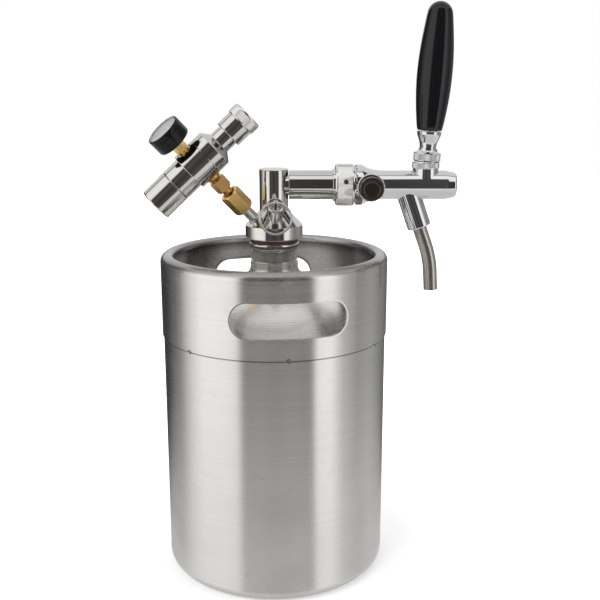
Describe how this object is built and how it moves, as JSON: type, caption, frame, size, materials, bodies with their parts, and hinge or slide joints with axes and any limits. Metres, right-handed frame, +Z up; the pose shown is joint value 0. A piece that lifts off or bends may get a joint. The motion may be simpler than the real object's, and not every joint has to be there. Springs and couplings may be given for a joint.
{
  "type": "mini keg beer dispenser",
  "caption": "Steel mini keg with hand slots in its collar, a screwed-in head with side arm and lever tap, a gas regulator with gauge and a pull-ring relief valve.",
  "frame": {"origin": "centre of the keg's base, on the surface it stands on", "axes": "+Z up along the keg's axis, +X along the arm towards the tap, -Y towards the flow knob"},
  "size_m": [0.2278, 0.1718, 0.4283],
  "materials": {
    "steel_brushed": "brushed, satin",
    "steel_polished": "polished",
    "chrome": "mirror chrome plate",
    "chrome_knurled": "satin chrome, fine knurl",
    "brass": "machined, slightly dulled",
    "handle_black": "high gloss",
    "knob_black": "high gloss",
    "gauge_black": "semi-gloss enamel",
    "seal_red": "dark red-brown silicone",
    "seal_black": "matt rubber",
    "dial_white": "matt white",
    "lens_clear": "clear",
    "spring_steel": "bright wire"
  },
  "bodies": {
    "keg": {"keg_body": "steel_brushed", "keg_dome": "steel_brushed", "keg_neck": "steel_polished", "handle_collar": "steel_brushed", "slot_panel_front": "steel_brushed", "slot_panel_back": "steel_brushed", "seam_welds": "steel_brushed"},
    "gasket": {"cap_gasket": "seal_red"},
    "head": {"arm_tube": "steel_polished", "bonnet_ring": "chrome_knurled", "cartridge_seal": "seal_black", "cartridge_socket": "steel_polished", "check_valve": "seal_black", "collar_nut": "chrome_knurled", "column": "steel_polished", "dip_tube": "steel_polished", "dip_tube_seal": "seal_black", "friction_washer": "seal_black", "gas_stub": "steel_polished", "gauge_case": "gauge_black", "gauge_dial": "dial_white", "gauge_lens": "lens_clear", "gauge_stem": "brass", "gauge_tube": "brass", "head_hub": "steel_polished", "inlet_grip": "chrome_knurled", "inlet_neck": "steel_polished", "nipple": "brass", "piercing_pin": "steel_polished", "piston": "brass", "piston_seal": "seal_black", "regulator_body": "steel_polished", "regulator_bonnet": "steel_polished", "relief_body": "steel_polished", "relief_cap": "steel_polished", "relief_spring": "spring_steel", "set_spring": "spring_steel", "shank_flange": "steel_polished", "shank_seal": "seal_black", "spout_tube": "steel_polished", "swivel_nut": "brass", "tap_body": "chrome", "valve_pin": "steel_polished"},
    "lever": {"lever_nut": "chrome_knurled", "lever_stem": "chrome", "lever_ferrule": "chrome", "tap_handle": "handle_black"},
    "shaft": {"tap_shaft": "steel_polished", "seat_seal": "seal_black"},
    "flow_control": {"flow_knob": "knob_black", "flow_spindle": "steel_polished"},
    "compensator_slide": {"compensator": "steel_polished"},
    "regulator_carrier": {"spring_plate": "steel_polished"},
    "regulator_dial": {"regulator_knob": "steel_polished", "adjusting_screw": "steel_polished"},
    "relief": {"relief_stem": "steel_polished", "relief_seal": "seal_black"},
    "ring": {"pull_ring": "steel_polished"},
    "needle": {"gauge_needle": "gauge_black"}
  },
  "joints": [
    {"name": "head_lift", "type": "slide", "parent": "keg", "child": "gasket", "axis": [0, 0, 1], "range_m": [0, 0.26]},
    {"name": "head_turn", "type": "hinge", "parent": "gasket", "child": "head", "pos_m": [0, 0, 0.2574], "axis": [0, 0, 1], "continuous": true},
    {"name": "lever_tilt", "type": "hinge", "parent": "head", "child": "lever", "pos_m": [0.1131, 0, 0.306], "axis": [0, 1, 0], "range_deg": [0, 25]},
    {"name": "shaft_travel", "type": "slide", "parent": "head", "child": "shaft", "axis": [1, 0, 0], "range_m": [-0.0045, 0.0003]},
    {"name": "flow_knob_turn", "type": "hinge", "parent": "head", "child": "flow_control", "pos_m": [0.0717, 0, 0.2965], "axis": [0, -1, 0], "range_deg": [-94, 94]},
    {"name": "compensator_travel", "type": "slide", "parent": "head", "child": "compensator_slide", "axis": [1, 0, 0], "range_m": [-0.0019, 0.0019]},
    {"name": "regulator_travel", "type": "slide", "parent": "head", "child": "regulator_carrier", "axis": [0.7221, 0.0999, 0.6845], "range_m": [-0.003, 0], "deforming": ["set_spring"]},
    {"name": "regulator_knob_turn", "type": "hinge", "parent": "regulator_carrier", "child": "regulator_dial", "pos_m": [-0.0523, -0.02781, 0.31593], "axis": [0.7221, 0.0999, 0.6845], "range_deg": [-5, 730]},
    {"name": "relief_pull", "type": "slide", "parent": "head", "child": "relief", "axis": [0.0493, -0.7054, 0.7071], "range_m": [0, 0.003], "stiffness_N_per_m": 1500, "springref_m": -0.002, "deforming": ["relief_spring"]},
    {"name": "ring_swing", "type": "hinge", "parent": "relief", "child": "ring", "pos_m": [0.00215, -0.03073, 0.28751], "axis": [-0.9976, -0.0698, 0], "range_deg": [-8, 150]},
    {"name": "needle_turn", "type": "hinge", "parent": "head", "child": "needle", "pos_m": [-0.05375, -0.02801, 0.31456], "axis": [0.6243, 0.332, -0.7071], "range_deg": [0, 270], "stiffness_Nm_per_rad": 0.0002, "springref_deg": -17.19}
  ],
  "couplings": [
    {"joint": "shaft_travel", "follows": "lever_tilt", "m_per_rad": -0.0085},
    {"joint": "flow_knob_turn", "follows": "compensator_travel", "rad_per_m": -826.73},
    {"joint": "regulator_knob_turn", "follows": "regulator_travel", "rad_per_m": -4188.8}
  ]
}
